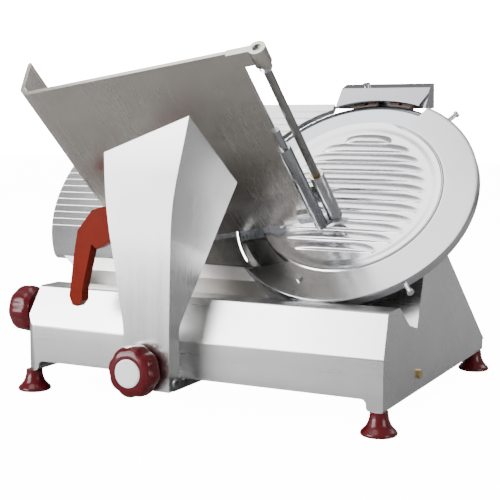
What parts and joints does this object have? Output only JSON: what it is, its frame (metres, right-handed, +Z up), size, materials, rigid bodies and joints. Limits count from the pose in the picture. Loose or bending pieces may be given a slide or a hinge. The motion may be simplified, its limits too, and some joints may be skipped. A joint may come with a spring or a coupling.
{
  "type": "deli meat slicer",
  "caption": "Gravity-feed deli meat slicer with an inclined blade, ribbed gauge plate, sliding tilting product table, red knobs and feet",
  "frame": {"origin": "On the counter surface, under the middle of the whole machine's bounding box.", "axes": "+Z up. +X to the operator's right along the base and the carriage rods. +Y away from the operator."},
  "size_m": [0.589, 0.5486, 0.4253],
  "materials": {
    "cast_aluminium": "satin polished casting",
    "polished_aluminium": "bright brushed and anodised",
    "blade_steel": "hardened and ground, hard chromed",
    "brushed_steel": "brushed stainless sheet",
    "steel_bright": "turned and polished fasteners and rods",
    "red_plastic": "deep red moulded phenolic",
    "white_plastic": "plain pale disc",
    "black_plastic": "moulded black",
    "green_plastic": "moulded green",
    "red_button": "moulded bright red",
    "brass": "turned brass or bronze",
    "rubber_belt": "moulded drive belt",
    "abrasive": "bonded abrasive wheel",
    "circuit_board": "resin board with parts",
    "painted_motor": "dark painted motor shell"
  },
  "bodies": {
    "base": {"base_housing": "cast_aluminium", "bottom_cover": "brushed_steel", "bottom_screws": "steel_bright", "feet": "red_plastic", "guide_rod": "steel_bright", "support_rod": "steel_bright", "gauge_apron": "polished_aluminium", "blade_cover_ring": "polished_aluminium", "ring_screws": "steel_bright", "bearing_housing": "cast_aluminium", "blade_bearings": "steel_bright", "motor_body": "painted_motor", "motor_bracket": "brushed_steel", "drive_belt": "rubber_belt", "control_board": "circuit_board", "slice_deflector": "brushed_steel", "earth_screw": "brass", "switch_panel": "black_plastic", "gauge_guide_bar": "steel_bright", "sharpener_bracket": "cast_aluminium"},
    "carriage": {"carriage_foot": "cast_aluminium", "carriage_bushes": "brass"},
    "arm": {"carriage_arm": "polished_aluminium", "arm_pivot_pin": "steel_bright", "product_table": "polished_aluminium", "table_screws": "steel_bright", "carriage_handle": "red_plastic", "pusher_rod": "steel_bright", "rod_end_bracket": "polished_aluminium", "rod_fasteners": "steel_bright", "rod_bumper": "steel_bright"},
    "lock": {"lock_knob": "red_plastic", "lock_stud": "steel_bright", "lock_knob_cap": "white_plastic"},
    "pusher_slider": {"pusher_bushes": "brass"},
    "pusher": {"pusher_sleeve": "polished_aluminium", "sleeve_pin": "steel_bright", "pusher_plate": "cast_aluminium", "pusher_teeth": "steel_bright", "pusher_knob": "red_plastic"},
    "gauge": {"gauge_plate": "polished_aluminium", "gauge_support": "cast_aluminium"},
    "index": {"index_knob": "red_plastic", "index_shaft": "steel_bright", "index_scroll": "brass"},
    "blade_assembly": {"blade": "blade_steel", "blade_hub": "steel_bright", "blade_screws": "steel_bright", "blade_pulley": "cast_aluminium"},
    "motor_shaft": {"motor_rotor": "steel_bright", "motor_pulley": "steel_bright"},
    "tie": {"tie_rod": "black_plastic"},
    "sharpener": {"sharpener_housing": "polished_aluminium", "sharpener_screw": "steel_bright"},
    "grinder": {"grinding_button": "steel_bright"},
    "grinder_wheel": {"grinding_stone": "abrasive"},
    "honer": {"honing_button": "steel_bright"},
    "honer_wheel": {"honing_stone": "abrasive"},
    "start": {"start_button": "green_plastic"},
    "stop": {"stop_button": "red_button"}
  },
  "joints": [
    {"name": "carriage_slide", "type": "slide", "parent": "base", "child": "carriage", "axis": [1, 0, 0], "range_m": [-0.12, 0.12]},
    {"name": "arm_tilt", "type": "hinge", "parent": "carriage", "child": "arm", "pos_m": [-0.0345, -0.17169, 0.042], "axis": [1, 0, 0], "range_deg": [0, 30]},
    {"name": "lock_knob_turn", "type": "hinge", "parent": "arm", "child": "lock", "pos_m": [-0.042, -0.19669, 0.0575], "axis": [0, -1, 0], "range_deg": [0, 360]},
    {"name": "pusher_slide", "type": "slide", "parent": "arm", "child": "pusher_slider", "axis": [0, -0.7513, 0.66], "range_m": [0, 0.16]},
    {"name": "pusher_swing", "type": "hinge", "parent": "pusher_slider", "child": "pusher", "pos_m": [0.13232, -0.05365, 0.25977], "axis": [0, 0.7513, -0.66], "range_deg": [0, 100]},
    {"name": "gauge_slide", "type": "slide", "parent": "base", "child": "gauge", "axis": [0, 0.7513, -0.66], "range_m": [0, 0.013]},
    {"name": "index_turn", "type": "hinge", "parent": "base", "child": "index", "pos_m": [-0.2465, -0.09969, 0.0996], "axis": [1, 0, 0], "range_deg": [0, 300]},
    {"name": "blade_spin", "type": "hinge", "parent": "base", "child": "blade_assembly", "pos_m": [0.1375, 0.02083, 0.2494], "axis": [0, -0.7513, 0.66], "continuous": true},
    {"name": "motor_spin", "type": "hinge", "parent": "base", "child": "motor_shaft", "pos_m": [0.1375, 0.0533, 0.1197], "axis": [0, -0.7513, 0.66], "continuous": true},
    {"name": "tie_knob_turn", "type": "hinge", "parent": "base", "child": "tie", "pos_m": [0.1375, 0.0659, 0.2098], "axis": [0, -0.7513, 0.66], "range_deg": [0, 360]},
    {"name": "sharpener_lift", "type": "slide", "parent": "base", "child": "sharpener", "axis": [0, 0.66, 0.7513], "range_m": [0, 0.05]},
    {"name": "grinding_press", "type": "slide", "parent": "base", "child": "grinder", "axis": [0, -0.7513, 0.66], "range_m": [0, 0.003]},
    {"name": "grinding_spin", "type": "hinge", "parent": "grinder", "child": "grinder_wheel", "pos_m": [0.1135, 0.12886, 0.3648], "axis": [0, -0.7513, 0.66], "continuous": true},
    {"name": "honing_press", "type": "slide", "parent": "base", "child": "honer", "axis": [0, -0.7513, 0.66], "range_m": [0, 0.003]},
    {"name": "honing_spin", "type": "hinge", "parent": "honer", "child": "honer_wheel", "pos_m": [0.1615, 0.12886, 0.3648], "axis": [0, -0.7513, 0.66], "continuous": true},
    {"name": "start_press", "type": "slide", "parent": "base", "child": "start", "axis": [1, 0, 0], "range_m": [0, 0.0025]},
    {"name": "stop_press", "type": "slide", "parent": "base", "child": "stop", "axis": [1, 0, 0], "range_m": [0, 0.0025]}
  ],
  "couplings": [
    {"joint": "index_turn", "follows": "gauge_slide", "rad_per_m": 402.77},
    {"joint": "motor_spin", "follows": "blade_spin", "ratio": 3.6923}
  ]
}
